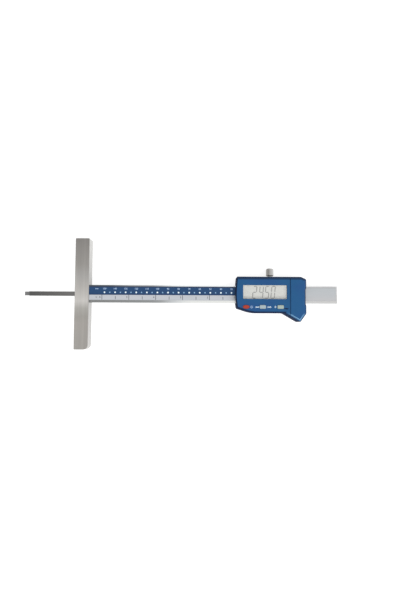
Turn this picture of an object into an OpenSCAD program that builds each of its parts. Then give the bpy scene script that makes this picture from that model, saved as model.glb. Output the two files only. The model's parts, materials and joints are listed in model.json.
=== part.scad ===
// Digital depth gauge, lying on its back with the display up.
// X runs along the beam, away from the measuring side. Y runs along the base. Z is up.
// The origin is on the base's reference face, at the middle of the depth rod.

/* [Base] */
// Length of the base along Y
base_len = 105.3; // [80:0.1:160]
// Width of the base along the beam
base_w = 13.4; // [11:0.1:20]
// Thickness of the base, front to back
base_t = 12.5; // [11.5:0.1:16]
// Metal that covers the beam's front where it enters the base
base_cover = 1.4; // [1:0.1:3]
// Depth of the pocket that holds the beam's end
base_seat = 9; // [8:0.1:10]
// Corner radius at the lower end, on the side away from the reference face
base_r_low = 4.5; // [0.5:0.1:6]
// Corner radius at the upper end, on the same side
base_r_high = 1.2; // [0.5:0.1:6]
// Edge break round the base
base_break = 0.35; // [0.1:0.05:0.8]

/* [Beam] */
// Length of the beam that shows beyond the base
beam_out = 234.3; // [220:0.1:300]
// Length of the end stop in the groove
stop_len = 5.25; // [3:0.05:10]
// Width of the beam
beam_w = 16.6; // [15:0.1:18]
// Thickness of the beam
beam_t = 4; // [3.6:0.1:5]
// Edge break along the beam
beam_break = 0.3; // [0.1:0.05:0.5]
// Clearance of the beam's end in the base's pocket
seat_fit = 0.05; // [0.02:0.01:0.1]

/* [Scale] */
// Width of the scale's recess in the beam's front
scale_w = 13.1; // [10:0.1:13.2]
// How far the scale's middle lies above the beam's middle
scale_shift = 0.65; // [0:0.05:0.7]
// Thickness of the coded scale strip
strip_t = 0.7; // [0.4:0.05:0.8]
// Thickness of the printed label on the strip
label_t = 0.15; // [0.1:0.05:0.2]
// How far the label lies below the beam's front
label_sink = 0.05; // [0.02:0.01:0.1]
// Bare steel left at the beam's far end
scale_end = 1.2; // [0.5:0.1:4]
// Clearance of the strip and label in their recess
scale_fit = 0.05; // [0.02:0.01:0.1]

/* [Depth rod] */
// Width of the rod
rod_w = 4.2; // [3:0.1:4.6]
// Thickness of the rod
rod_t = 1.6; // [1.2:0.1:1.8]
// How far the rod stands out of the reference face
rod_out = 48.1; // [20:0.1:60]
// Length of the narrowed nose
rod_nose = 4.2; // [2:0.1:8]
// Width of the nose
rod_nose_w = 3.7; // [2:0.1:4]
// Length of the foot that is screwed to the slider
rod_foot = 8; // [6:0.1:10]
// Clearance of the rod in its groove, each side
rod_fit = 0.2; // [0.1:0.05:0.3]

/* [Slider frame] */
// Rest position of the slider's left edge
slider_x = 151.1; // [100:0.1:170]
// Start of the steel frame, from the slider's left edge
frame_start = 3.9; // [3.6:0.1:6]
// Room between the steel frame and the wall beside the battery
frame_room = 4.2; // [3:0.1:8]
// Thickness of the plate behind the beam
frame_back = 3; // [2.4:0.1:3.4]
// Thickness of the frame's walls above and below the beam
frame_wall = 3.6; // [3.2:0.1:4]
// How far the frame's lips reach over the beam's front
frame_lip = 1.4; // [0.8:0.1:1.6]
// Thickness of the lips
frame_lip_t = 1.15; // [0.8:0.05:1.4]
// Sliding clearance between the beam and the frame or gib
slide_fit = 0.08; // [0.03:0.01:0.1]
// Thickness of the gib strip
gib_t = 1.5; // [1:0.1:2]
// Diameter of the gib's set screws
gib_screw_d = 2; // [1.6:0.1:2.4]
// Places of the gib's set screws, from the slider's left edge
gib_screw_x = [15.5, 25];

/* [Housing] */
// Height of the housing above the beam's middle
case_top = 16.35; // [16:0.05:18]
// Depth of the housing below the beam's middle
case_low = 17.5; // [16.8:0.05:18.5]
// Depth of the finger grip's tip below the beam's middle
grip_low = 26.1; // [25:0.1:28]
// Distance of the grip's tip from the housing's right edge
grip_in = 5.9; // [4:0.1:6.5]
// Depth at which the grip leaves the housing's right edge
grip_side = 18; // [17.5:0.1:20]
// Start of the grip's slope, left of the seam
grip_start = 5.5; // [4:0.1:8]
// Length of the cut at the upper right corner
corner_cut = 5; // [2:0.1:8]
// Height of that cut
corner_drop = 2.2; // [1:0.1:4]
// Height of the front face above the rod's middle
case_front = 10; // [10:0.1:11]
// Bulge of the left edge
case_bulge = 1.5; // [0.6:0.05:1.8]
// Waist of the right edge, where the beam comes out
case_waist = 0.7; // [0.1:0.05:0.9]
// Width of the slope round the front face
bevel_w = 2.8; // [1.5:0.1:3]
// Height of that slope
bevel_h = 2; // [1.2:0.1:2.2]
// Width of the slope round the back
back_bevel = 0.8; // [0.6:0.1:1.4]
// Wall of the housing's sides
case_wall = 1.6; // [1.2:0.1:1.7]
// Wall of the housing's front
front_wall = 1.3; // [1.2:0.1:1.6]
// Wall of the rear cover
rear_wall = 1.5; // [1.2:0.1:1.8]
// Clearance round the beam in the housing's ends
beam_gap = 0.3; // [0.2:0.05:0.4]
// Diameter of the long case screws
case_screw_d = 1.8; // [1.6:0.1:2]
// Diameter of their heads
case_head_d = 3.6; // [3:0.1:3.8]
// Height of their heads
case_head_h = 1.3; // [1:0.1:1.5]
// Diameter of the pillars that they screw into
pillar_d = 3.2; // [3:0.1:3.3]

/* [Display] */
// Width of the window
window_w = 40.8; // [36:0.1:46]
// Housing left of the window
display_left = 7.1; // [7:0.1:10]
// Housing between the window and the battery cover's seam
display_right = 3.1; // [3:0.1:6]
// Height of the window
window_h = 13; // [10:0.1:13]
// Middle of the window above the beam's middle
window_y = 1.8; // [1.5:0.1:1.9]
// How far the window lies below the front face
window_sink = 0.3; // [0.1:0.05:0.5]
// Rim by which the window is held from inside
window_rim = 1.2; // [0.8:0.1:1.2]
// Thickness of that rim
window_rim_t = 0.7; // [0.6:0.1:1]
// Clearance of the window in its opening
window_fit = 0.1; // [0.05:0.01:0.15]
// Thickness of the display glass
lcd_t = 1.65; // [1.2:0.05:1.8]
// Gap between the display glass and the window
lcd_gap = 0.1; // [0.1:0.05:0.2]
// Thickness of the main board
board_t = 1; // [0.8:0.1:1.2]
// Width of each rubber contact strip under the glass
zebra_w = 1.8; // [1.2:0.1:2]

/* [Buttons] */
// Place of the first button, right of the window's left edge
button_first = 2.85; // [2:0.05:4]
// Place of the second button, left of the window's middle
button_second = 2.15; // [0:0.05:4]
// Place of the third button, left of the battery cover's seam
button_third = 9.15; // [8:0.05:12]
// Distance of the buttons below the beam's middle
button_low = 12; // [11.8:0.05:12.2]
// Width of the oval button
oval_w = 6.1; // [5:0.1:6.6]
// Width of the two oblong buttons
oblong_w = 5.9; // [5:0.1:6.2]
// Height of all three buttons
button_h = 3.4; // [2.6:0.1:3.5]
// Corner radius of the oblong buttons
button_r = 1.1; // [0.4:0.1:1.2]
// How far a button stands out of the front face
button_out = 0.6; // [0.4:0.05:1]
// Travel of a button
button_travel = 0.5; // [0.3:0.05:0.6]
// Clearance round a button
button_fit = 0.2; // [0.15:0.01:0.25]

/* [Battery] */
// Diameter of the button cell
cell_d = 11.6; // [11:0.1:11.7]
// Thickness of the button cell
cell_t = 5.4; // [4.8:0.1:5.4]
// Distance of the cell's middle below the beam's middle
cell_low = 15; // [14.9:0.05:15.2]
// Distance of the cell's middle from the housing's right edge
cell_in = 7.7; // [7.1:0.05:8]
// Clearance round the cell
cell_fit = 0.2; // [0.1:0.05:0.25]
// Thickness of the contact springs
contact_t = 0.3; // [0.2:0.05:0.4]
// Length of the battery cover
cover_len = 15.2; // [14.5:0.1:16]
// Thickness of the battery cover
cover_t = 2.6; // [2.3:0.1:2.8]
// Seam between the cover and the housing
seam = 0.3; // [0.2:0.05:0.6]
// Width of the groove that softens the seam
seam_groove_w = 0.9; // [0.5:0.1:1.4]
// Running clearance of the cover's rail and tongues
rail_fit = 0.15; // [0.1:0.05:0.2]

/* [Lock screw] */
// Place of the lock screw, from the slider's left edge
lock_x = 33.3; // [30:0.1:34]
// Diameter of the knurled head
lock_head_d = 7.2; // [6:0.1:8]
// Height of the knurled head
lock_head_h = 7.3; // [5:0.1:9]
// Diameter of the neck under the head
lock_neck_d = 2.9; // [2.6:0.1:5]
// Height of the neck
lock_neck_h = 1; // [0.6:0.1:2]
// Diameter of the threaded shank
lock_shank_d = 2.5; // [2:0.1:2.8]
// Radial running clearance of the shank
lock_fit = 0.06; // [0.03:0.01:0.1]
// Ridges of the knurl
knurl_count = 24; // [20:1:40]
// Depth of the knurl
knurl_depth = 0.3; // [0.15:0.05:0.4]

/* [Hidden] */
$fn = 48;
ARC_STEP = 18;   // degrees that one step of a rounded corner turns
ARC_LEN = 4;     // longest step of a rounded corner
ARC_MIN = 0.4;   // least corner radius of an inset outline
CUT = 1;         // how far a cutting tool runs past the surface that it cuts

window_r = 0.6;          // corners of the window
pillar_skin = 0.5;       // front wall left over a screw's hole
pillar_tip_gap = 0.2;
rail_in = 1;             // the cover's rail starts this far past the seam
rail_play = 0.2;
rail_short = 0.3;
lock_hole_gap = 0.5;     // round the lock screw in the case
cell_play = 0.3;         // left between the cell and its cover
groove_skin = 0.4;       // metal of the beam behind the rod
split_drop = 0.4;        // how far the housing's split lies behind the beam's back

// Levels, counted from the rod's middle
groove_top = rod_t / 2 + rod_fit;
beam_back = -(rod_t / 2 + groove_skin);
beam_front = beam_back + beam_t;
base_front = beam_front + base_cover;
base_back = base_front - base_t;
recess_floor = beam_front - label_sink - label_t - strip_t;
frame_in = beam_back - slide_fit;
frame_rear = frame_in - frame_back;
lip_in = beam_front + slide_fit;
lip_front = lip_in + frame_lip_t;
board_front = lip_front + board_t;
case_in = case_front - front_wall;
window_back = case_in - window_rim_t;
lcd_front = window_back - lcd_gap;
lcd_back = lcd_front - lcd_t;
split = beam_back - split_drop;
cover_back = case_front - cover_t;
cell_top = cover_back - cell_play;

// Places along the beam
beam_start = base_w - base_seat + seat_fit;
beam_end = base_w + beam_out;
recess_over = 0.5;       // the recess starts this far inside the crossbar
recess_start = base_w - recess_over;
window_x = display_left + window_w / 2;
cover_x = display_left + window_w + display_right;
case_len = cover_x + cover_len;
cell_x = case_len - cell_in;
cavity_start = 3.4;
cell_wall = 1.35;        // wall beside the battery
cavity_end = cover_x - cell_wall;
frame_end = cavity_end - frame_room;
rod_foot_in = 2.5;       // the rod's foot ends this far inside the frame
rod_foot_x = frame_end - rod_foot_in - rod_foot;
stop_start = beam_end - stop_len;
button_x = [display_left + button_first, window_x - button_second, cover_x - button_third];
pocket_d = cell_d + 2 * cell_fit;

// Heights across the beam
half_beam = beam_w / 2;
groove_half = rod_w / 2 + rod_fit;
gib_in = half_beam + slide_fit;
gib_out = gib_in + gib_t;
top_wall_in = gib_out + slide_fit;
top_wall_out = top_wall_in + frame_wall;
low_wall_in = half_beam + slide_fit;
low_wall_out = low_wall_in + frame_wall;
top_screw_y = (top_wall_in + top_wall_out) / 2;
low_screw_y = -(low_wall_in + low_wall_out) / 2;
lip_edge = half_beam - frame_lip;

// Case screws pass through the frame's walls, clear of the display and the buttons
screw_from_window = 1.8;
screw_from_seam = 9;
case_screws_at = [
    [display_left + screw_from_window, top_screw_y], [cover_x - screw_from_seam, top_screw_y],
    [(button_x[0] + button_x[1]) / 2, low_screw_y], [(button_x[1] + button_x[2]) / 2, low_screw_y]
];

// Outline of the housing seen from the front, anticlockwise. Each corner is [x, y, radius, share of
// the slope's width on the side that starts there].
CASE = [
    [case_bulge, case_top, 0.6, 0.3],
    [0, -1, 50, 0.3],
    [case_bulge, -13.1, 1.5, 0.45],
    [11.9, -case_low + 1, 8, 0.45],
    [17.5, -case_low, 8, 0.45],
    [cover_x - grip_start, -case_low, 3, 0.8],
    [case_len - grip_in, -grip_low, 1.3, 0.8],
    [case_len, -grip_side, 1.6, 0.8],
    [case_len, -11, 3, 0.8],
    [case_len - case_waist, -8.6, 3, 0.8],
    [case_len - case_waist, 4, 3, 0.8],
    [case_len, 6.4, 3, 0.8],
    [case_len, case_top - corner_drop, 1.6, 0.9],
    [case_len - corner_cut, case_top, 2, 1]
];

case_hub = [case_len * 0.62, 0];

// ---- Outlines ----

function xy(c) = [c[0], c[1]];
function unit(v) = v / norm(v);
function left_of(v) = [-v[1], v[0]];
function turned(v, a) = [v[0] * cos(a) - v[1] * sin(a), v[0] * sin(a) + v[1] * cos(a)];
function at(c, i) = c[(i + len(c)) % len(c)];
function share(c, even) = even ? 1 : c[3];

// Corner i as an arc, after the sides have moved in by d, evenly or by each side's own share
function corner_arc(c, i, d, even) =
    let (p = xy(at(c, i)))
    let (u = unit(p - xy(at(c, i - 1))), v = unit(xy(at(c, i + 1)) - p))
    let (in1 = d * share(at(c, i - 1), even), in2 = d * share(at(c, i), even), k = u * v)
    let (q = p + ((in1 - k * in2) * left_of(u) + (in2 - k * in1) * left_of(v)) / (1 - k * k))
    let (side = cross(u, v) > 0 ? 1 : -1)
    let (r = max(at(c, i)[2] - side * (in1 + in2) / 2, min(at(c, i)[2], ARC_MIN)))
    let (turn = acos(k), arc_len = at(c, i)[2] * turn * PI / 180)
    let (steps = max(ceil(turn / ARC_STEP), ceil(arc_len / ARC_LEN)))
    let (centre = q - u * r * tan(turn / 2) + side * r * left_of(u))
    [for (j = [0:steps]) centre - turned(side * r * left_of(u), side * turn * j / steps)];

function outline(c, d, even = true) = [for (i = [0:len(c) - 1]) each corner_arc(c, i, d, even)];

// Solid through rings of points, each with as many points, anticlockwise and from the lowest up.
// Its two ends are fans round the hub, a place in X and Y that sees every corner.
module skin(rings, hub) {
    n = len(rings[0]);
    top = (len(rings) - 1) * n;
    low_hub = len(rings) * n;
    hubs = [[hub[0], hub[1], rings[0][0][2]], [hub[0], hub[1], rings[len(rings) - 1][0][2]]];
    ends = [for (i = [0:n - 1]) each [
        [i, (i + 1) % n, low_hub], [top + (i + 1) % n, top + i, low_hub + 1]
    ]];
    sides = [
        for (j = [0:len(rings) - 2]) for (i = [0:n - 1])
            [j * n + i, (j + 1) * n + i, (j + 1) * n + (i + 1) % n, j * n + (i + 1) % n]
    ];
    polyhedron(concat([for (ring = rings) each ring], hubs), concat(ends, sides));
}

// Solid through copies of an outline, each given as [inset, height]
module lofted(c, hub, levels, even = true) {
    skin([for (l = levels) [for (p = outline(c, l[0], even)) [p[0], p[1], l[1]]]], hub);
}

// ---- Shared shapes ----

// Box from corner a to corner b
module block(a, b) {
    translate(a) cube(b - a);
}

// Profile in Y and Z, drawn along X from x0 to x1
module along_x(x0, x1) {
    translate([x0, 0, 0]) rotate([90, 0, 90]) linear_extrude(x1 - x0) children();
}

// Rectangle with its corners cut at 45 degrees
module broken_rect(a, b, c) {
    polygon([
        [a[0] + c, a[1]], [b[0] - c, a[1]], [b[0], a[1] + c], [b[0], b[1] - c],
        [b[0] - c, b[1]], [a[0] + c, b[1]], [a[0], b[1] - c], [a[0], a[1] + c]
    ]);
}

// Rectangle with round corners
module round_rect(w, h, r) {
    square([w - 2 * r, h], center = true);
    square([w, h - 2 * r], center = true);
    for (sx = [-1, 1], sy = [-1, 1]) translate([sx * (w / 2 - r), sy * (h / 2 - r)]) circle(r);
}

module ellipse(w, h) {
    polygon([for (a = [0:15:345]) [w / 2 * cos(a), h / 2 * sin(a)]]);
}

// Cylinder along Z from z0 to z1
module post(x, y, d, z0, z1) {
    translate([x, y, z0]) cylinder(d = d, h = z1 - z0);
}

// Cylinder along Y from y0 to y1
module post_y(x, z, d, y0, y1) {
    translate([x, y0, z]) rotate([-90, 0, 0]) cylinder(d = d, h = y1 - y0);
}

// Screw along Z: its head from z0 to z1 and its shank up to z2, with a cross slot in the head
module screw(x, y, head_d, shank_d, z0, z1, z2) {
    slot = head_d * 0.6;
    difference() {
        union() {
            post(x, y, head_d, z0, z1);
            post(x, y, shank_d, z1, z2);
        }
        for (a = [0, 90])
            translate([x, y, z0]) rotate([0, 0, a])
                cube([slot, head_d * 0.16, (z1 - z0)], center = true);
    }
}

module on_slider() {
    translate([slider_x, 0, 0]) children();
}

// ---- Base and beam ----

base_hole_y = 5;         // base screws, above and below the rod
base_screw_d = 3;
base_head_d = 5.5;
base_head_h = 3;
base_screw_x = base_w - base_seat / 2;
base_head_sink = 0.4;    // how far the heads lie below the base's back
base_hole_skin = 0.4;    // left between a hole and the recess
screw_tip_gap = 0.1;
base_hole_top = recess_floor - base_hole_skin;
base_screw_top = base_hole_top - screw_tip_gap;
screw_gap = 0.1;         // radial gap of a screw in its hole

module base() {
    corners = [
        [0, base_len / 2, base_break], [0, -base_len / 2, base_break],
        [base_w, -base_len / 2, base_r_low], [base_w, base_len / 2, base_r_high]
    ];
    color("darkgray") difference() {
        intersection() {
            translate([0, 0, base_back]) linear_extrude(base_t) polygon(outline(corners, 0));
            along_x(0, base_w)
                broken_rect([-base_len / 2, base_back], [base_len / 2, base_front], base_break);
            translate([0, base_len / 2, 0]) rotate([90, 0, 0]) linear_extrude(base_len)
                broken_rect([0, base_back], [base_w, base_front], base_break);
        }
        // slot for the rod, and the pocket for the beam's end
        along_x(-CUT, base_w - base_seat + CUT)
            polygon([
                [-groove_half, -groove_top], [groove_half, -groove_top],
                [groove_half, groove_top], [-groove_half, groove_top]
            ]);
        block([base_w - base_seat, -half_beam - seat_fit, beam_back],
              [base_w + CUT, half_beam + seat_fit, beam_front + seat_fit]);
        for (s = [-1, 1]) {
            post(base_screw_x, s * base_hole_y, base_screw_d + 2 * screw_gap, base_back - CUT, beam_back);
            post(base_screw_x, s * base_hole_y, base_head_d + 4 * screw_gap, base_back - CUT,
                 base_back + base_head_sink + base_head_h);
        }
    }
}

module base_screws() {
    color("dimgray") for (s = [-1, 1])
        screw(base_screw_x, s * base_hole_y, base_head_d, base_screw_d,
              base_back + base_head_sink, base_back + base_head_sink + base_head_h, base_screw_top);
}

module beam() {
    color("silver") difference() {
        along_x(beam_start, beam_end)
            broken_rect([-half_beam, beam_back], [half_beam, beam_front], beam_break);
        block([beam_start - CUT, -groove_half, beam_back - CUT], [beam_end + CUT, groove_half, groove_top]);
        block([recess_start, scale_shift - scale_w / 2, recess_floor],
              [beam_end - scale_end, scale_shift + scale_w / 2, beam_front + CUT]);
        for (s = [-1, 1])
            post(base_screw_x, s * base_hole_y, base_screw_d + 2 * screw_gap, beam_back - CUT,
                 base_hole_top);
        post(stop_x, 0, stop_screw_d + screw_gap, groove_top - CUT, stop_hole_top);
    }
}

// The strip and the label fill the recess from z0 to z1
module in_recess(z0, z1) {
    block([recess_start + scale_fit, scale_shift - scale_w / 2 + scale_fit, z0],
          [beam_end - scale_end - scale_fit, scale_shift + scale_w / 2 - scale_fit, z1]);
}

module scale_strip() {
    color("darkolivegreen") in_recess(recess_floor, recess_floor + strip_t);
}

module scale_label() {
    color("steelblue") in_recess(recess_floor + strip_t, recess_floor + strip_t + label_t);
}

// ---- End stop: a block in the groove that the rod's foot meets ----

stop_screw_d = 1.6;
stop_head_d = 3;
stop_head_h = 0.8;
stop_head_sink = 0.1;
stop_hole_skin = 0.2;
stop_hole_top = recess_floor - stop_hole_skin;
stop_screw_top = stop_hole_top - screw_tip_gap;
stop_x = (stop_start + beam_end) / 2;

module end_stop() {
    color("silver") difference() {
        block([stop_start, -groove_half + seat_fit, beam_back],
              [beam_end - beam_break, groove_half - seat_fit, groove_top]);
        post(stop_x, 0, stop_screw_d + screw_gap, beam_back - CUT, groove_top + CUT);
        post(stop_x, 0, stop_head_d + screw_gap, beam_back - CUT,
             beam_back + stop_head_sink + stop_head_h);
    }
}

module end_stop_screw() {
    color("dimgray")
        screw(stop_x, 0, stop_head_d, stop_screw_d,
              beam_back + stop_head_sink, beam_back + stop_head_sink + stop_head_h, stop_screw_top);
}

// ---- Steel frame of the slider, with its gib ----

rod_screw_d = 1.6;
rod_head_d = 3.2;
rod_head_h = 1.2;
rod_head_sink = 0.2;
rod_screw_x = rod_foot_x + rod_foot / 2;
lock_z = (beam_back + beam_front) / 2;

module slider_frame() {
    color("silver") on_slider() difference() {
        along_x(frame_start, frame_end)
            polygon([
                [-low_wall_out, frame_rear], [top_wall_out, frame_rear], [top_wall_out, lip_front],
                [lip_edge, lip_front], [lip_edge, lip_in], [top_wall_in, lip_in],
                [top_wall_in, frame_in], [-low_wall_in, frame_in], [-low_wall_in, lip_in],
                [-lip_edge, lip_in], [-lip_edge, lip_front], [-low_wall_out, lip_front]
            ]);
        for (p = case_screws_at)
            post(p[0], p[1], case_screw_d + 2 * screw_gap, frame_rear - CUT, lip_front + CUT);
        for (x = gib_screw_x)
            post_y(x, lock_z, gib_screw_d + screw_gap, top_wall_in - CUT, top_wall_out + CUT);
        post_y(lock_x, lock_z, lock_shank_d + 2 * lock_fit, top_wall_in - CUT, top_wall_out + CUT);
        post(rod_screw_x, 0, rod_screw_d + screw_gap, frame_rear - CUT, frame_in + CUT);
        post(rod_screw_x, 0, rod_head_d + 2 * screw_gap, frame_rear - CUT,
             frame_rear + rod_head_sink + rod_head_h);
    }
}

gib_short = 0.3;         // how far the gib ends inside the frame
gib_low = 0.1;           // how far it lies inside the beam's faces
gib_screw_sink = 0.3;
gib_slot = [gib_screw_d + CUT, 1.2, 0.4];

module gib_strip() {
    color("goldenrod") on_slider()
        block([frame_start + gib_short, gib_in, beam_back + gib_low],
              [frame_end - gib_short, gib_out, beam_front - gib_low]);
}

module gib_screws() {
    color("dimgray") on_slider() for (x = gib_screw_x) difference() {
        post_y(x, lock_z, gib_screw_d, gib_out, top_wall_out - gib_screw_sink);
        translate([x, top_wall_out - gib_screw_sink, lock_z]) cube(gib_slot, center = true);
    }
}

// ---- Depth rod, a flat bar in the beam's back groove ----

nose_slope = 12;         // degrees
nose_ground = 2.4;

module depth_rod() {
    tip = -rod_out;
    foot = slider_x + rod_foot_x;
    color("dimgray") difference() {
        union() {
            block([tip + rod_nose, -rod_w / 2, -rod_t / 2], [foot + rod_foot, rod_w / 2, rod_t / 2]);
            block([tip, -rod_nose_w / 2, -rod_t / 2], [tip + rod_nose, rod_nose_w / 2, rod_t / 2]);
            block([foot, -rod_w / 2, frame_in], [foot + rod_foot, rod_w / 2, -rod_t / 2]);
        }
        // the nose is ground to a slight slope on both faces
        for (s = [-1, 1])
            translate([tip, 0, s * (rod_t + CUT) / 2]) rotate([0, s * nose_slope, 0])
                cube([nose_ground, rod_w + CUT, CUT], center = true);
        post(slider_x + rod_screw_x, 0, rod_screw_d + screw_gap, frame_in - CUT, rod_t / 2 + CUT);
    }
}

module rod_screw() {
    color("dimgray") on_slider()
        screw(rod_screw_x, 0, rod_head_d, rod_screw_d,
              frame_rear + rod_head_sink, frame_rear + rod_head_sink + rod_head_h, rod_t / 2 - 0.1);
}

// ---- Housing ----

// Body of the front shell, from the split up to the front face, with its slope round the front
module case_form() {
    lofted(CASE, case_hub, [
        [0, split], [0, case_front - bevel_h], [bevel_w * 0.2, case_front - bevel_h * 0.7],
        [bevel_w * 0.55, case_front - bevel_h * 0.35], [bevel_w, case_front]
    ], false);
}

// Inside of the housing up to the wall that parts it from the battery, from z0 to z1
module cavity(z0, z1) {
    translate([0, 0, z0]) linear_extrude(z1 - z0) intersection() {
        polygon(outline(CASE, case_wall));
        translate([cavity_start, -case_low]) square([cavity_end - cavity_start, case_low + case_top]);
    }
}

// The space that the battery cover and the seam take from the front shell
module cover_space() {
    block([cover_x - seam / 2, -grip_low - CUT, cover_back - 0.1],
          [case_len + CUT, case_top + CUT, case_front + CUT]);
}

// V-groove that softens both sides of the seam
module seam_groove() {
    side = seam_groove_w / sqrt(2);
    translate([cover_x, 0, case_front]) rotate([0, 45, 0])
        cube([side, 2 * (case_top + grip_low), side], center = true);
}

// The cover's rail runs in a slot of the same section, grown by the fit
rail_y = 4;
rail_stem = [3, 1.1];
rail_foot = [5.4, 0.9];
module rail(x0, x1, fit) {
    stem_low = cover_back - rail_stem[1];
    foot_low = stem_low - rail_foot[1];
    block([x0, rail_y - rail_stem[0] / 2 - fit, foot_low],
          [x1, rail_y + rail_stem[0] / 2 + fit, cover_back]);
    block([x0, rail_y - rail_foot[0] / 2 - fit, foot_low - fit],
          [x1, rail_y + rail_foot[0] / 2 + fit, stem_low + fit]);
}

// Two tongues hold the cover's inner edge under the front wall
tongue_len = 3.6;
tongue_t = 0.9;
tongues = [[10.7, 13.3], [-14.4, -10.4]];
module cover_tongues(fit) {
    for (t = tongues)
        block([cover_x - tongue_len - fit, t[0] - fit, cover_back - fit],
              [cover_x + seam, t[1] + fit, cover_back + tongue_t + fit]);
}

// Plan of each button's cap, grown by g
module button_plan(i, g) {
    translate([button_x[i], -button_low]) {
        if (i == 0) ellipse(oval_w + 2 * g, button_h + 2 * g);
        else round_rect(oblong_w + 2 * g, button_h + 2 * g, button_r + g);
    }
}

// Plan of the flange behind a cap, grown by g
module flange_plan(i, g) {
    side = (i == 0 ? oval_w : oblong_w) + 2 * (flange_w + g);
    translate([button_x[i], -button_low]) square([side, button_h + 2 * (flange_w + g)], center = true);
}

// Contact strips run through two slots in the wall between the cell and the boards
tab_w = 1.8;
tab_end = cavity_end - 1.2;
negative_z = cell_top - cell_t;
positive_z = board_front + 0.05;
tab_gap = 0.1;
module tab(z, x_end, grow) {
    block([tab_end - grow, -cell_low - tab_w / 2 - grow, z - contact_t - grow],
          [x_end, -cell_low + tab_w / 2 + grow, z + grow]);
}

arrow_w = 1.6;
arrow_in = 3.7;          // its start, left of the seam
arrow_drop = 1.6;        // how far it lies below the buttons' middles
arrow_t = 0.3;

module front_housing() {
    color([0.20, 0.33, 0.52]) on_slider() difference() {
        union() {
            difference() {
                case_form();
                cavity(split - CUT, case_in);
                cover_space();
            }
            for (p = case_screws_at) post(p[0], p[1], pillar_d, board_front, case_in + CUT / 2);
        }
        // the beam's passage, open to the back
        block([-CUT, -half_beam - beam_gap, split - CUT],
              [case_len + CUT, half_beam + beam_gap, beam_front + beam_gap]);
        for (p = case_screws_at)
            post(p[0], p[1], case_screw_d + screw_gap, board_front - CUT, case_in - pillar_skin);
        // window, buttons, lock screw
        translate([window_x, window_y, case_in - CUT]) linear_extrude(front_wall + 2 * CUT)
            round_rect(window_w, window_h, window_r);
        for (i = [0:2])
            translate([0, 0, case_in - CUT]) linear_extrude(front_wall + 2 * CUT)
                button_plan(i, button_fit);
        for (i = [0:2])
            translate([0, 0, board_front]) linear_extrude(case_in - board_front)
                flange_plan(i, button_fit);
        post_y(lock_x, lock_z, lock_shank_d + 2 * lock_hole_gap, case_top - 2 * case_wall, case_top + CUT);
        // arrow that points at the battery cover
        translate([cover_x - arrow_in, -button_low - arrow_drop, case_front - arrow_t]) linear_extrude(CUT)
            polygon([[0, -arrow_w / 2], [arrow_w * 1.5, 0], [0, arrow_w / 2]]);
        // battery pocket, with the slots for its contacts
        post(cell_x, -cell_low, pocket_d, negative_z - contact_t, case_front + CUT);
        for (z = [negative_z, positive_z + contact_t]) tab(z, cell_x - cell_d / 2, tab_gap);
        rail(cover_x + rail_in - rail_play, case_len + CUT, rail_fit);
        cover_tongues(rail_fit);
        seam_groove();
    }
}

case_head_sink = 0.3;
boss_wall = 1;           // round the screws, down to the frame
boss_d = pillar_d + 2 * boss_wall;

module rear_cover() {
    floor_z = base_back + rear_wall;
    color([0.12, 0.17, 0.26]) on_slider() difference() {
        lofted(CASE, case_hub, [[back_bevel, base_back], [0.1, base_back + back_bevel - 0.1],
                      [0, base_back + back_bevel + 0.2], [0, split]]);
        difference() {
            union() {
                cavity(floor_z, split + CUT);
                translate([0, 0, floor_z]) linear_extrude(split - floor_z + CUT) intersection() {
                    polygon(outline(CASE, case_wall));
                    translate([cover_x, -grip_low]) square([cover_len, grip_low + case_top]);
                }
            }
            for (p = case_screws_at) post(p[0], p[1], boss_d, floor_z - CUT, frame_rear);
        }
        for (p = case_screws_at) {
            post(p[0], p[1], case_screw_d + 2 * screw_gap, base_back - CUT, frame_rear + CUT);
            post(p[0], p[1], case_head_d + 2 * screw_gap, base_back - CUT,
                 base_back + case_head_sink + case_head_h);
        }
    }
}

module case_screws() {
    color("dimgray") on_slider() for (p = case_screws_at)
        screw(p[0], p[1], case_head_d, case_screw_d,
              base_back + case_head_sink, base_back + case_head_sink + case_head_h,
              case_in - pillar_skin - pillar_tip_gap);
}

// ---- Display ----

module lcd_window() {
    color([0.85, 0.88, 0.86, 0.5]) on_slider() translate([window_x, window_y, 0]) {
        translate([0, 0, window_back]) linear_extrude(window_rim_t)
            square([window_w + 2 * window_rim, window_h + 2 * window_rim], center = true);
        translate([0, 0, case_in]) linear_extrude(front_wall - window_sink)
            round_rect(window_w - 2 * window_fit, window_h - 2 * window_fit, window_r - window_fit);
    }
}

lcd_over = 0.1;          // beyond the window's rim, all round
lcd_w = window_w + 2 * (window_rim + lcd_over);
lcd_h = window_h + 2 * (window_rim + lcd_over);
zebra_edge = 0.1;
zebra_in = 3;            // how far the contact strips end inside the glass
module lcd_panel() {
    color([0.78, 0.80, 0.77]) on_slider() translate([window_x, window_y, lcd_back])
        linear_extrude(lcd_t) square([lcd_w, lcd_h], center = true);
}

module zebra_strips() {
    color("pink") on_slider() for (s = [-1, 1])
        translate([window_x, window_y + s * (lcd_h / 2 - zebra_w / 2 - zebra_edge), board_front])
            linear_extrude(lcd_back - board_front) square([lcd_w - 2 * zebra_in, zebra_w], center = true);
}

// ---- Boards and chip ----

board_fit = 0.3;
board_end_fit = 0.4;
board_hole_gap = 0.2;
sensor_in = 1;           // shorter than the frame at each end
sensor_t = 0.9;
chip_w = 7;
chip_gap = 0.1;

module main_board() {
    color("darkgreen") on_slider() translate([0, 0, lip_front]) linear_extrude(board_t) difference() {
        intersection() {
            polygon(outline(CASE, case_wall + board_fit));
            translate([frame_start, -case_low])
                square([cavity_end - board_end_fit - frame_start, case_low + top_wall_out]);
        }
        for (p = case_screws_at) translate(p) circle(d = case_screw_d + 2 * board_hole_gap);
    }
}

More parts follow.
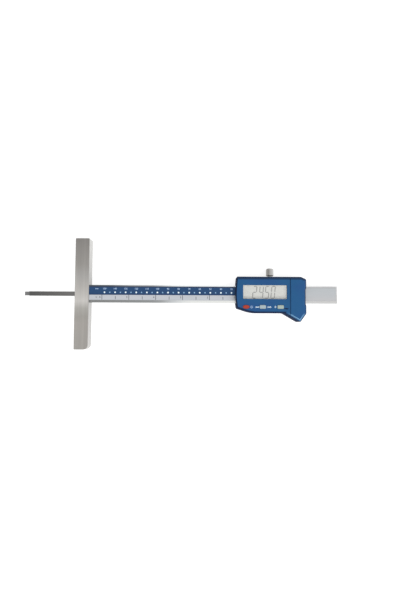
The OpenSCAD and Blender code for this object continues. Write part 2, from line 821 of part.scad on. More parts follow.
// Pick-up board close above the scale, between the frame's lips
module sensor_board() {
    color("darkgreen") on_slider()
        block([frame_start + sensor_in, -lip_edge + board_fit, lip_front - sensor_t],
              [frame_end - sensor_in, lip_edge - board_fit, lip_front]);
}

module controller_chip() {
    color("black") on_slider() translate([window_x, window_y, board_front])
        linear_extrude(lcd_back - board_front - chip_gap) square([chip_w, chip_w], center = true);
}

// ---- Buttons ----

flange_w = 0.45;
flange_t = 0.8;
dome_d = 3.2;
dome_h = 0.3;
flange_gap = 0.05;       // between a flange and the front wall
button_rim = 0.25;       // step round a button's top
button_stem_d = 2.4;
stem_gap = 0.05;         // between a pressed stem and its dome

module dome_switches() {
    color("silver") on_slider() for (x = button_x) translate([x, -button_low, board_front])
        cylinder(d1 = dome_d, d2 = dome_d * 0.6, h = dome_h);
}

// Cap through the front wall, flange behind it and stem down to the switch
module button(i) {
    flange_top = case_in - flange_gap;
    rim = button_rim;
    on_slider() {
        translate([0, 0, flange_top - flange_t]) linear_extrude(flange_t) flange_plan(i, 0);
        translate([0, 0, flange_top]) linear_extrude(case_front + button_out - rim - flange_top)
            button_plan(i, 0);
        translate([0, 0, case_front + button_out - rim]) linear_extrude(rim) button_plan(i, -rim);
        post(button_x[i], -button_low, button_stem_d,
             board_front + dome_h + stem_gap + button_travel, flange_top - flange_t);
    }
}

module on_off_button() {
    color([0.67, 0.28, 0.24]) button(0);
}

module unit_button() {
    color([0.67, 0.72, 0.75]) button(1);
}

module zero_button() {
    color([0.68, 0.73, 0.70]) button(2);
}

// ---- Battery, contacts and cover ----

// The cell's can, and its narrower cap below
module battery() {
    can = cell_d / 2;
    cap = can - 1.4;
    step = 0.5;
    edge = 0.3;
    color("lightgray") on_slider() translate([cell_x, -cell_low, cell_top - cell_t]) rotate_extrude()
        polygon([
            [0, 0], [cap, 0], [cap, step], [can, step],
            [can, cell_t - edge], [can - edge, cell_t], [0, cell_t]
        ]);
}

module contact_negative() {
    z = negative_z;
    low = -cell_low - tab_w / 2;
    high = -cell_low + tab_w / 2;
    color("silver") on_slider() {
        tab(z, cell_x + cell_d / 4, 0);
        block([tab_end, low, z - contact_t], [tab_end + contact_t, high, lip_front - 0.02]);
    }
}

// Leaf in the gap beside the cell
module contact_positive() {
    z = positive_z + contact_t;
    leaf_x = cell_x - cell_d / 2;
    leaf = [0.15, 0.6, 2.2];
    color("silver") on_slider() {
        tab(z, leaf_x, 0);
        block([leaf_x - leaf[0], -cell_low - leaf[1], z - leaf[2]], [leaf_x, -cell_low + leaf[1], z]);
    }
}

module battery_cover() {
    color([0.21, 0.36, 0.55]) on_slider() difference() {
        union() {
            intersection() {
                case_form();
                block([cover_x + seam / 2, -grip_low - CUT, cover_back],
                      [case_len + CUT, case_top + CUT, case_front + CUT]);
            }
            rail(cover_x + rail_in, case_len - case_waist - rail_short, 0);
            cover_tongues(0);
        }
        seam_groove();
    }
}

// ---- Lock screw ----

lock_neck_gap = 0.3;     // between the neck and the case
lock_neck_in = 0.2;      // the neck's overlap with the head
lock_tip_gap = 0.1;      // between the tip and the gib

// Ring of the knurled head at radius r and height z, its ridges d deep
function knurl_ring(r, z, d) = [
    for (i = [0:2 * knurl_count - 1])
        let (a = i * 180 / knurl_count, k = r - (i % 2) * d) [k * cos(a), k * sin(a), z]
];

module lock_screw() {
    neck_low = case_top + lock_neck_gap;
    head_low = neck_low + lock_neck_h;
    r = lock_head_d / 2;
    h = lock_head_h;
    color("gainsboro") on_slider() translate([lock_x, 0, lock_z]) rotate([-90, 0, 0]) {
        translate([0, 0, gib_out + lock_tip_gap]) cylinder(d = lock_shank_d, h = head_low - gib_out);
        translate([0, 0, neck_low]) cylinder(d = lock_neck_d, h = lock_neck_h + lock_neck_in);
        translate([0, 0, head_low]) skin([
            knurl_ring(r - 0.6, 0, 0), knurl_ring(r, 0.5, knurl_depth), knurl_ring(r, h - 1.1, knurl_depth),
            knurl_ring(r - 0.6, h - 0.4, knurl_depth / 2), knurl_ring(r - 1.6, h, 0)
        ], [0, 0]);
    }
}

base();
base_screws();
beam();
scale_strip();
scale_label();
end_stop();
end_stop_screw();
slider_frame();
gib_strip();
gib_screws();
depth_rod();
rod_screw();
lock_screw();
front_housing();
rear_cover();
case_screws();
lcd_window();
lcd_panel();
zebra_strips();
main_board();
sensor_board();
controller_chip();
dome_switches();
on_off_button();
unit_button();
zero_button();
battery();
contact_negative();
contact_positive();
battery_cover();
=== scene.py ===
import json
import math
import bpy
import bmesh
from mathutils import Matrix, Vector


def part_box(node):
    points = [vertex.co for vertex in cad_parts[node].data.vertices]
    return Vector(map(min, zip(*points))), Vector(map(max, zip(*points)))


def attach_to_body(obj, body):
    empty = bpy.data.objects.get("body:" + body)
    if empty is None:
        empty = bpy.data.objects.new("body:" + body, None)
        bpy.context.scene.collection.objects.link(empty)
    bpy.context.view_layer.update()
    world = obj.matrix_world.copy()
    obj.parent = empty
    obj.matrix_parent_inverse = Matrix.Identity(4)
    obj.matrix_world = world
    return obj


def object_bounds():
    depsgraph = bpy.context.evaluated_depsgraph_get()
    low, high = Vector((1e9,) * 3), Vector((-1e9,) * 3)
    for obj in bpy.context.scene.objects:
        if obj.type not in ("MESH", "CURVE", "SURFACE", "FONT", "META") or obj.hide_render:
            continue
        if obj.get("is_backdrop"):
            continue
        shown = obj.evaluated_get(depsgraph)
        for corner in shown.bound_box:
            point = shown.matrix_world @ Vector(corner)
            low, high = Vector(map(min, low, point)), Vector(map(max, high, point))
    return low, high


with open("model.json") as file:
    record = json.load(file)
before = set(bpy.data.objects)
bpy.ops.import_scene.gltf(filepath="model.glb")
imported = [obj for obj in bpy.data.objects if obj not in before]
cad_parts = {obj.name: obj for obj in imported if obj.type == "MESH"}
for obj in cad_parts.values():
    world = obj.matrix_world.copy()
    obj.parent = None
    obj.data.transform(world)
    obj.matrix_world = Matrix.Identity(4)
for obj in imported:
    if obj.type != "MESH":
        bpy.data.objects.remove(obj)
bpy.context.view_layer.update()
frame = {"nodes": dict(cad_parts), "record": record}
nodes = frame["nodes"]
MM = 0.001

# ---------------------------------------------------------------- camera
# Fitted to the photograph: straight above the beam, leaning a little towards +Y.
PITCH = math.radians(3.264)
ROLL = math.radians(0.309)
EYE = Vector((118.633, -29.292, 412.135)) * MM
PHOTO_WIDTH = 401
FOCAL = 434.34 / PHOTO_WIDTH      # as a share of the picture's width
SENSOR = 36
right = Vector((1, 0, 0))
up = Vector((0, math.cos(PITCH), math.sin(PITCH)))
back = Vector((0, -math.sin(PITCH), math.cos(PITCH)))
cam_x = right * math.cos(ROLL) + up * math.sin(ROLL)
cam_y = -right * math.sin(ROLL) + up * math.cos(ROLL)
cam_data = bpy.data.cameras.new("camera")
cam_data.sensor_fit = "HORIZONTAL"
cam_data.sensor_width = SENSOR
cam_data.lens = FOCAL * SENSOR
cam_data.clip_start = 0.01
cam = bpy.data.objects.new("camera", cam_data)
bpy.context.scene.collection.objects.link(cam)
turn = Matrix((cam_x, cam_y, back)).transposed().to_4x4()
cam.matrix_world = Matrix.Translation(EYE) @ turn
bpy.context.scene.camera = cam


# ---------------------------------------------------------------- material helpers
def srgb(r, g, b):
    """Linear colour from the 0..255 values that it shows on a screen."""
    def linear(c):
        return c / 12.92 if c <= 0.04045 else ((c + 0.055) / 1.055) ** 2.4
    return (linear(r / 255), linear(g / 255), linear(b / 255), 1.0)


class Mat:
    """A Principled material with short calls for its nodes."""

    def __init__(self, name, color, rough=0.5, metal=0.0, **sockets):
        self.mat = bpy.data.materials.new(name)
        self.mat.use_nodes = True
        self.nt = self.mat.node_tree
        self.bsdf = self.nt.nodes["Principled BSDF"]
        self.set("Base Color", color)
        self.set("Roughness", rough)
        self.set("Metallic", metal)
        for k, v in sockets.items():
            self.set(k.replace("_", " "), v)
        self.co = self.node("ShaderNodeTexCoord").outputs["Object"]

    def node(self, kind, **props):
        n = self.nt.nodes.new(kind)
        for k, v in props.items():
            setattr(n, k, v)
        return n

    def link(self, a, b):
        self.nt.links.new(a, b)

    def set(self, socket, value):
        self.bsdf.inputs[socket].default_value = value

    def noise(self, scale, stretch=(1, 1, 1), detail=3, rough=0.5):
        """Noise about 0.5, in cycles per metre; stretch draws it out along an axis."""
        m = self.node("ShaderNodeMapping")
        m.inputs["Scale"].default_value = stretch
        self.link(self.co, m.inputs["Vector"])
        n = self.node("ShaderNodeTexNoise")
        n.inputs["Scale"].default_value = scale
        n.inputs["Detail"].default_value = detail
        n.inputs["Roughness"].default_value = rough
        self.link(m.outputs["Vector"], n.inputs["Vector"])
        return n.outputs["Fac"]

    def span(self, fac, lo, hi, to_lo=0.0, to_hi=1.0):
        m = self.node("ShaderNodeMapRange")
        for k, v in (("From Min", lo), ("From Max", hi), ("To Min", to_lo), ("To Max", to_hi)):
            m.inputs[k].default_value = v
        self.link(fac, m.inputs["Value"])
        return m.outputs["Result"]

    def math(self, op, a, b):
        m = self.node("ShaderNodeMath", operation=op)
        for i, v in enumerate((a, b)):
            if isinstance(v, (int, float)):
                m.inputs[i].default_value = v
            else:
                self.link(v, m.inputs[i])
        return m.outputs[0]

    def mix(self, fac, a, b, mode="MIX"):
        m = self.node("ShaderNodeMix", data_type="RGBA", blend_type=mode)
        for key, v in (("Factor", fac), ("A", a), ("B", b)):
            sock = next(s for s in m.inputs if s.name == key and s.enabled)
            if isinstance(v, (int, float, tuple)):
                sock.default_value = v
            else:
                self.link(v, sock)
        return next(s for s in m.outputs if s.enabled)

    def axis(self, which):
        """Place along X, Y or Z, in metres."""
        s = self.node("ShaderNodeSeparateXYZ")
        self.link(self.co, s.inputs[0])
        return s.outputs[which]

    def facing(self, which, least=0.6, soft=0.04):
        """1 on faces that look along +X, +Y or +Z of the piece."""
        g = self.node("ShaderNodeNewGeometry")
        t = self.node("ShaderNodeVectorTransform", vector_type="NORMAL",
                      convert_from="WORLD", convert_to="OBJECT")
        s = self.node("ShaderNodeSeparateXYZ")
        self.link(g.outputs["True Normal"], t.inputs[0])
        self.link(t.outputs[0], s.inputs[0])
        return self.span(s.outputs[which], least - soft, least + soft)

    def band(self, which, lo, hi):
        """1 on faces whose normal lies between lo and hi along an axis."""
        above = self.facing(which, lo)
        below = self.math("SUBTRACT", 1.0, self.facing(which, hi, 0.01))
        return self.math("MULTIPLY", above, below)

    def graded(self, which, stops):
        """Colour that changes along an axis; stops are (millimetres, colour)."""
        lo, hi = stops[0][0], stops[-1][0]
        r = self.node("ShaderNodeValToRGB")
        ramp = r.color_ramp
        while len(ramp.elements) < len(stops):
            ramp.elements.new(0.5)
        for e, (at, c) in zip(ramp.elements, stops):
            e.position = (at - lo) / (hi - lo)
            e.color = c
        self.link(self.span(self.axis(which), lo * MM, hi * MM), r.inputs["Fac"])
        return r.outputs["Color"]

    def color(self, out):
        self.link(out, self.bsdf.inputs["Base Color"])

    def rough(self, out):
        self.link(out, self.bsdf.inputs["Roughness"])

    def bump(self, height, strength):
        b = self.node("ShaderNodeBump")
        b.inputs["Strength"].default_value = strength
        b.inputs["Distance"].default_value = BUMP_DEPTH
        self.link(height, b.inputs["Height"])
        self.link(b.outputs["Normal"], self.bsdf.inputs["Normal"])


BUMP_DEPTH = 0.00003      # metres
FINE = 2600               # cycles per metre of grinding marks and moulded grain
LONG = {"X": (0.02, 1, 1), "Y": (1, 0.02, 1), "Z": (1, 1, 0.02)}


def steel(name, color, along, rough=0.32, wave=0.06, patches=0.03, aniso=0.3, paint=None):
    """Ground steel: fine marks along an axis and slow patches; paint may give the colour."""
    m = Mat(name, color, rough, 1.0, Anisotropic=aniso)
    marks = m.noise(FINE, LONG[along], detail=4, rough=0.6)
    slow = m.noise(60, tuple(0.3 if v != 1 else 1.0 for v in LONG[along]), detail=2)
    tone = m.math("ADD", m.span(marks, 0.3, 0.7, 1 - wave, 1 + wave),
                  m.span(slow, 0.3, 0.7, -patches, patches))
    m.color(m.mix(1.0, paint(m) if paint else color, tone, "MULTIPLY"))
    m.rough(m.span(marks, 0.25, 0.75, rough * 0.85, rough * 1.2))
    m.bump(marks, 0.10)
    return m


def plastic(name, color, rough=0.42, specular=0.25):
    """Moulded plastic: fine spark-eroded grain and slight unevenness."""
    m = Mat(name, color, rough, 0.0, Specular_IOR_Level=specular)
    g = m.noise(FINE, detail=2)
    slow = m.noise(70, detail=2)
    m.color(m.mix(1.0, color, m.span(slow, 0.3, 0.7, 0.96, 1.04), "MULTIPLY"))
    m.rough(m.span(g, 0.3, 0.7, rough * 0.9, rough * 1.12))
    m.bump(g, 0.12)
    return m


def case_plastic(name, color, painted_shade, painted_highlight, rough):
    """Moulded blue with painted shade on the steep faces and on bevels facing +Y, and a painted
    highlight on the grip's bevels; the steep faces are also matt.
    """
    m = plastic(name, color, rough, specular=0.2)
    tint = m.span(m.noise(38, (1, 1.6, 0), detail=1), 0.42, 0.66, 0, 0.5)
    plain = m.bsdf.inputs["Base Color"].links[0].from_socket
    whole = m.mix(tint, plain, srgb(36, 71, 124))
    gloss = m.bsdf.inputs["Roughness"].links[0].from_socket
    # painted shade: steep faces take the dark colour, and are also made matt
    side = m.math("SUBTRACT", 1.0, m.facing("Z", 0.74))
    # painted shade on bevels that face +Y
    upper_painted_shade = m.math("MULTIPLY", m.facing("Y", 0.3), 0.58)
    # painted highlight on the grip's bevels
    grip_painted_highlight = m.math("MULTIPLY", m.band("Z", 0.78, 0.97),
                     m.span(m.axis("Y"), -17.5 * MM, -19.5 * MM))
    m.color(m.mix(side, m.mix(grip_painted_highlight, m.mix(upper_painted_shade, whole, painted_shade), painted_highlight), painted_shade))
    m.rough(m.math("MAXIMUM", gloss, m.math("MULTIPLY", side, 0.95)))
    return m


# ---------------------------------------------------------------- materials
def crossbar_paint(m):
    """Painted light on the front, brightest near the beam; a painted reflection on the face
    turned towards the beam.
    """
    # painted light: the front's tone along Y stands for how the light falls on it
    front = m.graded("Y", [
        (-52, srgb(164, 161, 156)), (-28, srgb(166, 162, 157)), (-22, srgb(161, 158, 153)),
        (-14, srgb(172, 170, 165)), (-7, srgb(202, 199, 195)), (-2, srgb(195, 192, 188)),
        (6, srgb(184, 181, 177)), (16, srgb(172, 170, 167)), (28, srgb(154, 151, 147)),
        (50, srgb(137, 134, 131)),
    ])
    # painted reflection on the face turned towards the beam
    flank_painted_reflection = m.graded("Y", [
        (-50, srgb(188, 186, 183)), (0, srgb(176, 175, 173)), (50, srgb(195, 194, 191)),
    ])
    streaks = m.noise(520, (1, 0.012, 1), detail=3, rough=0.65)
    front = m.mix(1.0, front, m.span(streaks, 0.3, 0.7, 0.93, 1.07), "MULTIPLY")
    return m.mix(m.facing("X"), front, flank_painted_reflection)


def beam_paint(m):
    """Painted reflection on the margins of the front: dark near the crossbar, turning white
    farther along.
    """
    reflection_white = srgb(234, 238, 240)
    # painted reflection on the margin above the middle: dark near the crossbar, white farther
    # along
    top_margin_painted_reflection = m.graded("X", [
        (14, srgb(84, 92, 100)), (33, srgb(86, 94, 102)), (44, srgb(126, 132, 138)),
        (54, srgb(154, 158, 161)), (73, srgb(163, 166, 169)), (82, srgb(186, 190, 193)),
        (92, srgb(222, 226, 228)), (101, reflection_white),
        (180, reflection_white), (215, srgb(228, 229, 229)), (247, srgb(216, 216, 217)),
    ])
    # painted reflection on the margin below the middle as well
    low = m.graded("X", [
        (14, srgb(132, 133, 132)), (73, srgb(146, 148, 149)), (82, srgb(160, 162, 163)),
        (92, srgb(196, 199, 201)), (101, srgb(220, 222, 222)), (110, srgb(231, 232, 230)),
        (180, srgb(233, 233, 230)),
        (200, srgb(206, 206, 206)), (247, srgb(208, 208, 207)),
    ])
    above = m.span(m.axis("Y"), -MM, MM)
    return m.mix(m.facing("Z"), srgb(178, 180, 182), m.mix(above, low, top_margin_painted_reflection))


def rod_paint(m):
    """Dark rod, paler at its tip and lighter towards the crossbar."""
    return m.graded("X", [
        (-48, srgb(132, 132, 132)), (-44.5, srgb(122, 122, 122)), (-43, srgb(90, 90, 89)),
        (-20, srgb(106, 105, 104)), (0, srgb(118, 117, 116)),
    ])


mats = {}
mats["base_steel"] = steel("ground_crossbar", srgb(165, 162, 158), "Y", rough=0.36,
                           wave=0.05, patches=0.035, paint=crossbar_paint)
mats["beam_steel"] = steel("ground_beam", srgb(180, 182, 184), "X", rough=0.30,
                           paint=beam_paint)
mats["frame_steel"] = steel("ground_frame", srgb(168, 170, 173), "X", rough=0.38)
mats["rod_steel"] = steel("dark_rod", srgb(98, 97, 96), "X", rough=0.36, wave=0.08,
                          paint=rod_paint)
mats["screw_steel"] = steel("screws", srgb(140, 141, 144), "Z", rough=0.34)
mats["gib_brass"] = steel("gib_brass", srgb(190, 160, 102), "X", rough=0.34)
mats["contact_steel"] = steel("spring_steel", srgb(190, 187, 180), "X", rough=0.28)
mats["cell_steel"] = steel("cell_steel", srgb(196, 197, 199), "X", rough=0.26, aniso=0.0)


def knob_paint(m):
    """Nickel with painted shade left of the middle and a painted highlight growing towards the
    right.
    """
    return m.graded("X", [
        (180.8, srgb(168, 166, 163)), (181.8, srgb(154, 152, 149)), (182.8, srgb(146, 144, 141)),
        (183.8, srgb(172, 171, 169)), (185.2, srgb(190, 189, 187)), (186.6, srgb(200, 200, 199)),
        (188, srgb(226, 226, 225)),
    ])


mats["knob_metal"] = steel("knurled_nickel", srgb(170, 168, 165), "Z", rough=0.30,
                           aniso=0.0, paint=knob_paint)

# colours of the painted shade and the painted highlight on the blue case
PAINTED_SHADE_BLUE, PAINTED_HIGHLIGHT_BLUE = srgb(20, 35, 63), srgb(96, 138, 172)
mats["case_blue"] = case_plastic("moulded_blue", srgb(33, 81, 124), PAINTED_SHADE_BLUE, PAINTED_HIGHLIGHT_BLUE, 0.42)
mats["cover_blue"] = case_plastic("moulded_cover", srgb(33, 82, 126), PAINTED_SHADE_BLUE, PAINTED_HIGHLIGHT_BLUE, 0.40)
mats["case_navy"] = plastic("moulded_navy", srgb(23, 40, 70), 0.8, specular=0.15)
mats["button_red"] = plastic("button_red", srgb(160, 60, 46))
mats["button_grey"] = plastic("button_grey", srgb(156, 170, 176), 0.45)
mats["button_beige"] = plastic("button_beige", srgb(158, 171, 164), 0.45)
mats["strip_laminate"] = plastic("strip_laminate", srgb(70, 84, 50), 0.55)
mats["contact_rubber"] = plastic("contact_rubber", srgb(190, 146, 146), 0.7)
mats["board_green"] = plastic("solder_mask", srgb(26, 88, 50), 0.35)
mats["chip_black"] = plastic("chip_resin", srgb(32, 32, 34), 0.6)

# display: pale grey-green with a soft sheen, and painted light along its lower and right edges
# where the window's walls shade it
FIELD = srgb(197, 198, 193)
m = Mat("display_glass", FIELD, 0.35, Specular_IOR_Level=0.2)
cloud = m.noise(260, detail=2)
# painted light along the lower edge, against the shade of the window's walls
field_painted_light = m.graded("Y", [
    (-5.4, srgb(236, 240, 240)), (-4.2, srgb(214, 217, 215)), (-3.2, FIELD), (9.0, FIELD),
])
# painted light along the right edge, against the same shade
right_edge_painted_light = m.graded("X", [(157, FIELD), (197.2, FIELD), (199.2, srgb(228, 232, 232))])
field_painted_light = m.mix(1.0, field_painted_light, right_edge_painted_light, "LIGHTEN")
m.color(m.mix(1.0, field_painted_light, m.span(cloud, 0.3, 0.7, 0.97, 1.03), "MULTIPLY"))
m.rough(m.span(cloud, 0.3, 0.7, 0.30, 0.36))
mats["lcd_glass"] = m

m = Mat("display_window", (1, 1, 1, 1), 0.06, Alpha=0.06, Specular_IOR_Level=0.3)
m.rough(m.span(m.noise(200, detail=1), 0.3, 0.7, 0.04, 0.08))
m.mat.surface_render_method = "BLENDED"
mats["window_clear"] = m

# printed film on the beam: blue above, silver below, plain silver past the scale
LABEL_EDGE = -1.0         # between silver and blue
LABEL_RIM = 6.35          # where the blue darkens
LABEL_END = 190.0         # plain silver from here
LABEL_SOFT = 0.02         # half the width of a printed edge
m = Mat("printed_scale", srgb(186, 192, 200), 0.34, Specular_IOR_Level=0.2)
brush = m.noise(FINE, LONG["X"])
blue = m.graded("Y", [
    (LABEL_EDGE, srgb(30, 52, 86)), (0.4, srgb(36, 66, 103)), (5.6, srgb(37, 69, 108)),
    (LABEL_RIM - 0.1, srgb(38, 62, 98)), (LABEL_RIM + 0.1, srgb(48, 58, 80)),
    (7.2, srgb(56, 64, 82)),
])
silver = srgb(184, 187, 193)
in_blue = m.span(m.axis("Y"), (LABEL_EDGE - LABEL_SOFT) * MM, (LABEL_EDGE + LABEL_SOFT) * MM)
past = m.span(m.axis("X"), (LABEL_END - LABEL_SOFT) * MM, (LABEL_END + LABEL_SOFT) * MM)
end = m.graded("Y", [
    (-5.9, srgb(182, 182, 184)), (0, srgb(178, 181, 184)), (5.6, srgb(176, 180, 183)),
    (6.6, srgb(170, 171, 173)),
])
tint = m.mix(past, m.mix(in_blue, silver, blue), end)
m.color(m.mix(1.0, tint, m.span(brush, 0.3, 0.7, 0.97, 1.03), "MULTIPLY"))
m.rough(m.span(brush, 0.3, 0.7, 0.30, 0.38))
m.bump(brush, 0.05)
mats["scale_print"] = m

for sub in frame["record"]["subparts"]:
    obj = nodes[sub["node"]]
    obj.data.materials.clear()
    obj.data.materials.append(mats[sub["material_slot"]].mat)
    for poly in obj.data.polygons:
        poly.material_index = 0


def ink(name, color, rough=0.5):
    m = Mat(name, color, rough, Specular_IOR_Level=0.2)
    g = m.noise(1500, detail=2)
    m.color(m.mix(1.0, color, m.span(g, 0.3, 0.7, 0.96, 1.02), "MULTIPLY"))
    m.rough(m.span(g, 0.3, 0.7, rough * 0.9, rough * 1.1))
    return m.mat


WHITE_INK = ink("ink_white", srgb(228, 243, 248))
GREY_INK = ink("ink_grey", srgb(142, 178, 210))
DARK_INK = ink("ink_dark", srgb(50, 54, 62))
PALE_INK = ink("ink_pale", srgb(166, 190, 220))
NAVY_INK = ink("ink_navy", srgb(8, 16, 44))
LCD_INK = ink("display_segments", srgb(138, 139, 136), 0.4)


# ---------------------------------------------------------------- printed pieces
INK_T = 0.02              # thickness of print, in millimetres
CAP_SHARE = 0.7           # a capital's height as a share of the font's size


def attach(name, bm, mat, body):
    """Object from a bmesh, riding on a body."""
    me = bpy.data.meshes.new(name)
    bm.to_mesh(me)
    bm.free()
    me.materials.append(mat)
    ob = bpy.data.objects.new(name, me)
    bpy.context.scene.collection.objects.link(ob)
    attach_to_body(ob, body)
    return ob


def prism(name, shapes, z, mat, body, thick=INK_T):
    """Thin solids from flat polygons, in millimetres, standing on height z."""
    bm = bmesh.new()
    for pts in shapes:
        low = [bm.verts.new((x * MM, y * MM, z * MM)) for x, y in pts]
        high = [bm.verts.new((x * MM, y * MM, (z + thick) * MM)) for x, y in pts]
        bm.faces.new(list(reversed(low)))
        bm.faces.new(high)
        for i in range(len(pts)):
            j = (i + 1) % len(pts)
            bm.faces.new((low[i], low[j], high[j], high[i]))
    bmesh.ops.recalc_face_normals(bm, faces=bm.faces)
    return attach(name, bm, mat, body)


def rect(x0, y0, x1, y1):
    return [(x0, y0), (x1, y0), (x1, y1), (x0, y1)]


def disc(x, y, r, n=20):
    return [(x + r * math.cos(2 * math.pi * i / n), y + r * math.sin(2 * math.pi * i / n))
            for i in range(n)]


def lettering(name, items, z, mat, body):
    """Numerals and units: (text, middle x, middle y, height, slant, weight), in millimetres."""
    bm = bmesh.new()
    for text, x, y, size, slant, weight in items:
        cu = bpy.data.curves.new("t", "FONT")
        cu.body = text
        cu.size = size / CAP_SHARE
        cu.align_x = "CENTER"
        cu.align_y = "CENTER"
        cu.shear = slant
        cu.offset = weight
        cu.resolution_u = 3
        cu.extrude = INK_T / 2
        ob = bpy.data.objects.new("t", cu)
        bpy.context.scene.collection.objects.link(ob)
        bpy.context.view_layer.update()
        evaluated = ob.evaluated_get(bpy.context.evaluated_depsgraph_get())
        me = bpy.data.meshes.new_from_object(evaluated)
        me.transform(Matrix.Translation((x, y, z + INK_T / 2)))
        me.transform(Matrix.Scale(MM, 4))
        bm.from_mesh(me)
        bpy.data.objects.remove(ob)
        bpy.data.curves.remove(cu)
        bpy.data.meshes.remove(me)
    bmesh.ops.remove_doubles(bm, verts=bm.verts, dist=1e-7)
    return attach(name, bm, mat, body)


# ---- scale: dots and numerals in millimetres above, ticks and numerals in inches below
label_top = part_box("scale_label")[1].z / MM
ZERO = 177.89             # place of the scale's zero along X
INCH = 25.4


def mm_at(v):
    return ZERO - v


def inch_at(v):
    return ZERO - INCH * v


DOT_Y, NUM_Y, INCH_Y = 1.4, 4.8, -3.1
TEN_R, FIVE_R = 0.78, 0.62
TICK_HALF = 0.22          # half the width of an inch tick
shown = range(10, 151, 10)
prism("scale_dots_ten", [disc(mm_at(v), DOT_Y, TEN_R) for v in shown],
      label_top, WHITE_INK, "gauge_body")
prism("scale_dots_five", [disc(mm_at(v - 5), DOT_Y, FIVE_R) for v in shown],
      label_top, GREY_INK, "gauge_body")
mm_marks = [(str(v), mm_at(v), NUM_Y, 1.55, 0, 0.04) for v in shown]
mm_marks.append(("mm", mm_at(157.2), NUM_Y, 1.4, 0, 0.04))
lettering("scale_numbers_mm", mm_marks, label_top, PALE_INK, "gauge_body")

ticks = []
for half_inch in range(0, 13):
    x = inch_at(half_inch / 2)
    whole = half_inch % 2 == 0
    low, high = (-5.6, LABEL_EDGE - 0.1) if whole else (-5.2, -2.3)
    ticks.append(rect(x - TICK_HALF, low, x + TICK_HALF, high))
prism("scale_ticks_inch", ticks, label_top, DARK_INK, "gauge_body")
inch_marks = [(str(v), inch_at(v) - 1.9, INCH_Y, 1.7, 0, 0.02) for v in range(0, 7)]
inch_marks.append(("in", inch_at(6) - 5.2, INCH_Y, 1.4, 0, 0.02))
lettering("scale_numbers_inch", inch_marks, label_top, DARK_INK, "gauge_body")

# ---- display: slanted seven-segment figures
lcd_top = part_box("lcd_panel")[1].z / MM
SEGMENTS = {"0": "abcdef", "2": "abged", "4": "fgbc", "5": "afgcd"}
FIG_LOW, FIG_HIGH, FIG_W, STROKE, SLANT = -3.9, 7.3, 3.2, 0.95, 0.1
FIG_X = {"2": 169.15, "4": 175.3, "5": 180.7, "0": 186.3}
POINT_X = (177.6, 178.3)
POINT_DROP, POINT_RISE = 0.3, 0.4      # the point's ends about the figures' foot
BAR_END = 0.12            # how much each end of a bar is cut back


def bar(p, q, w):
    """Bar from p to q with pointed ends."""
    d = Vector(q) - Vector(p)
    u = d.normalized()
    n = Vector((-u.y, u.x)) * w / 2
    a, b = Vector(p) + u * BAR_END, Vector(q) - u * BAR_END
    t = u * w / 2
    return [tuple(v) for v in (a, a + t - n, b - t - n, b, b - t + n, a + t + n)]


def figure(ch, mid):
    w = FIG_W / 2
    half = (FIG_HIGH - FIG_LOW) / 2
    centre = (FIG_HIGH + FIG_LOW) / 2
    c = {"tl": (-w, half), "tr": (w, half), "ml": (-w, 0), "mr": (w, 0),
         "bl": (-w, -half), "br": (w, -half)}
    ends = {"a": "tl tr", "b": "mr tr", "c": "br mr", "d": "bl br",
            "e": "bl ml", "f": "ml tl", "g": "ml mr"}
    out = []
    for s in SEGMENTS[ch]:
        p, q = (c[k] for k in ends[s].split())
        out.append([(mid + x + SLANT * y, centre + y) for x, y in bar(p, q, STROKE)])
    return out


shapes = [shape for ch, mid in FIG_X.items() for shape in figure(ch, mid)]
shapes.append(rect(POINT_X[0], FIG_LOW - POINT_DROP, POINT_X[1], FIG_LOW + POINT_RISE))
prism("display_figures", shapes, lcd_top, LCD_INK, "slider")

# ---- marks beside the buttons
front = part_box("front_housing")[1].z / MM
MARK_Y = -12.1
POWER_X = 166.1
RING_IN, RING_OUT = 0.8, 1.15
RING_START, RING_SWEEP, RING_STEPS = 120, 300, 24
STEM_HALF, STEM_H = 0.17, 1.3
ring = []
for i in range(RING_STEPS):
    a0, a1 = (math.radians(RING_START + RING_SWEEP * k / RING_STEPS) for k in (i, i + 1))
    ring.append([(POWER_X + r * math.cos(a), MARK_Y + r * math.sin(a))
                 for r, a in ((RING_IN, a0), (RING_OUT, a0), (RING_OUT, a1), (RING_IN, a1))])
ring.append(rect(POWER_X - STEM_HALF, MARK_Y, POWER_X + STEM_HALF, MARK_Y + STEM_H))
prism("mark_power", ring, front, PALE_INK, "slider")
button_marks = [
    ("mm", 171.3, MARK_Y, 1.6, 0.25, 0.05), ("inch", 182.4, MARK_Y, 1.5, 0.25, 0.05),
    ("0", 188.1, MARK_Y, 1.9, 0, 0.03),
]
lettering("marks_buttons", button_marks, front, WHITE_INK, "slider")

# ---- lip inside the seam, under the gap of the battery cover
SEAM_X = 202.1
LIP_LEFT, LIP_RIGHT = 0.14, 0.1
LIP_LOW, LIP_HIGH = -18.6, 13.3
LIP_DEPTH, LIP_T = 1.3, 0.95
lip = rect(SEAM_X - LIP_LEFT, LIP_LOW, SEAM_X + LIP_RIGHT, LIP_HIGH)
prism("seam_lip", [lip], front - LIP_DEPTH, mats["case_blue"].mat, "slider", LIP_T)

# ---- arrow that points at the battery cover: tail printed, head in its recess
ARROW_Y = -13.6
HEAD_X, HEAD_HALF, HEAD_SINK = (198.45, 200.7), 0.75, 0.3
TAIL_X, TAIL_HALF = (196.3, 198.35), 0.5
head = [(HEAD_X[0], ARROW_Y - HEAD_HALF), (HEAD_X[1], ARROW_Y), (HEAD_X[0], ARROW_Y + HEAD_HALF)]
tail = rect(TAIL_X[0], ARROW_Y - TAIL_HALF, TAIL_X[1], ARROW_Y + TAIL_HALF)
prism("arrow_head", [head], front - HEAD_SINK, NAVY_INK, "slider")
prism("arrow_tail", [tail], front, NAVY_INK, "slider")

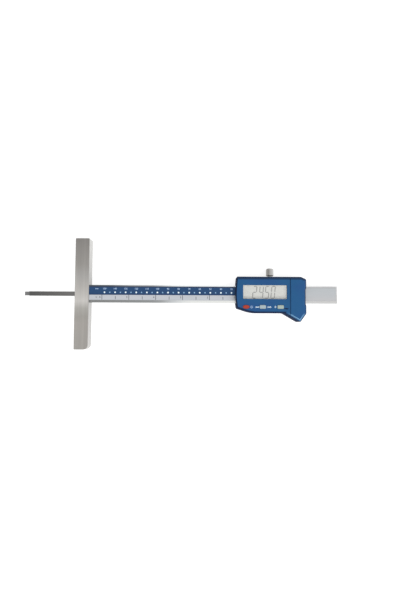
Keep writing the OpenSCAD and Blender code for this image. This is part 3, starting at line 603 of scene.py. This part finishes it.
# ---------------------------------------------------------------- floor, world and light
floor_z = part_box("base")[0].z
FLOOR = 6.0               # half its side
FLOOR_DROP = 0.00002      # below the crossbar, so that no faces coincide
FLOOR_TONE = 0.40
GLOW_NEAR, GLOW_FAR = 0.83, 1.0
GLOW_START, GLOW_END = 0.4, 1.4        # metres from the origin
AMBIENT = 0.32            # the world's strength for diffuse rays
bm = bmesh.new()
corners = ((-FLOOR, -FLOOR), (FLOOR, -FLOOR), (FLOOR, FLOOR), (-FLOOR, FLOOR))
bm.faces.new([bm.verts.new((x, y, floor_z - FLOOR_DROP)) for x, y in corners])
me = bpy.data.meshes.new("floor")
bm.to_mesh(me)
bm.free()
floor = bpy.data.objects.new("floor", me)
bpy.context.scene.collection.objects.link(floor)
floor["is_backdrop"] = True


def seen(nt):
    """1 for camera, glossy and transmission rays."""
    lp = nt.nodes.new("ShaderNodeLightPath")
    out = lp.outputs["Is Camera Ray"]
    for other in ("Is Glossy Ray", "Is Transmission Ray"):
        m = nt.nodes.new("ShaderNodeMath")
        m.operation = "MAXIMUM"
        nt.links.new(out, m.inputs[0])
        nt.links.new(lp.outputs[other], m.inputs[1])
        out = m.outputs[0]
    return out


def scaled(nt, fac, lo, hi, start=0.0, end=1.0):
    """From lo at start to hi at end."""
    m = nt.nodes.new("ShaderNodeMapRange")
    for k, v in (("From Min", start), ("From Max", end), ("To Min", lo), ("To Max", hi)):
        m.inputs[k].default_value = v
    nt.links.new(fac, m.inputs["Value"])
    return m.outputs["Result"]


fm = bpy.data.materials.new("floor_white")
fm.use_nodes = True
nt = fm.node_tree
nt.nodes.clear()
out = nt.nodes.new("ShaderNodeOutputMaterial")
dif = nt.nodes.new("ShaderNodeBsdfDiffuse")
dif.inputs["Color"].default_value = (FLOOR_TONE, FLOOR_TONE, FLOOR_TONE, 1)
emi = nt.nodes.new("ShaderNodeEmission")
add = nt.nodes.new("ShaderNodeAddShader")
place = nt.nodes.new("ShaderNodeTexCoord")
reach = nt.nodes.new("ShaderNodeVectorMath")
reach.operation = "LENGTH"
nt.links.new(place.outputs["Object"], reach.inputs[0])
far = scaled(nt, reach.outputs["Value"], GLOW_NEAR, GLOW_FAR, GLOW_START, GLOW_END)
glow = nt.nodes.new("ShaderNodeMath")
glow.operation = "MULTIPLY"
nt.links.new(far, glow.inputs[0])
nt.links.new(seen(nt), glow.inputs[1])
nt.links.new(glow.outputs[0], emi.inputs["Strength"])
nt.links.new(dif.outputs[0], add.inputs[0])
nt.links.new(emi.outputs[0], add.inputs[1])
nt.links.new(add.outputs[0], out.inputs["Surface"])
floor.data.materials.append(fm)

world = bpy.data.worlds.new("studio")
bpy.context.scene.world = world
world.use_nodes = True
nt = world.node_tree
bg = nt.nodes["Background"]
bg.inputs["Color"].default_value = (1, 1, 1, 1)
nt.links.new(scaled(nt, seen(nt), AMBIENT, 1.0), bg.inputs["Strength"])


LAMP_TARGET = (0.1, 0, 0)


def area(name, loc, size, power):
    la = bpy.data.lights.new(name, "AREA")
    la.shape = "SQUARE"
    la.size = size
    la.energy = power
    ob = bpy.data.objects.new(name, la)
    bpy.context.scene.collection.objects.link(ob)
    ob.location = loc
    ob.rotation_euler = (Vector(LAMP_TARGET) - Vector(loc)).to_track_quat("-Z", "Y").to_euler()
    return ob


# metal mirrors the white world already, so the softbox stays out of reflections
softbox = area("softbox", (0.5, -0.85, 1.3), 2.1, 39)
softbox.visible_glossy = False
area("side_strip", (0.5, -1.3, 0.9), 0.5, 1.2)

bpy.context.scene.view_settings.view_transform = "Standard"

low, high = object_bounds()
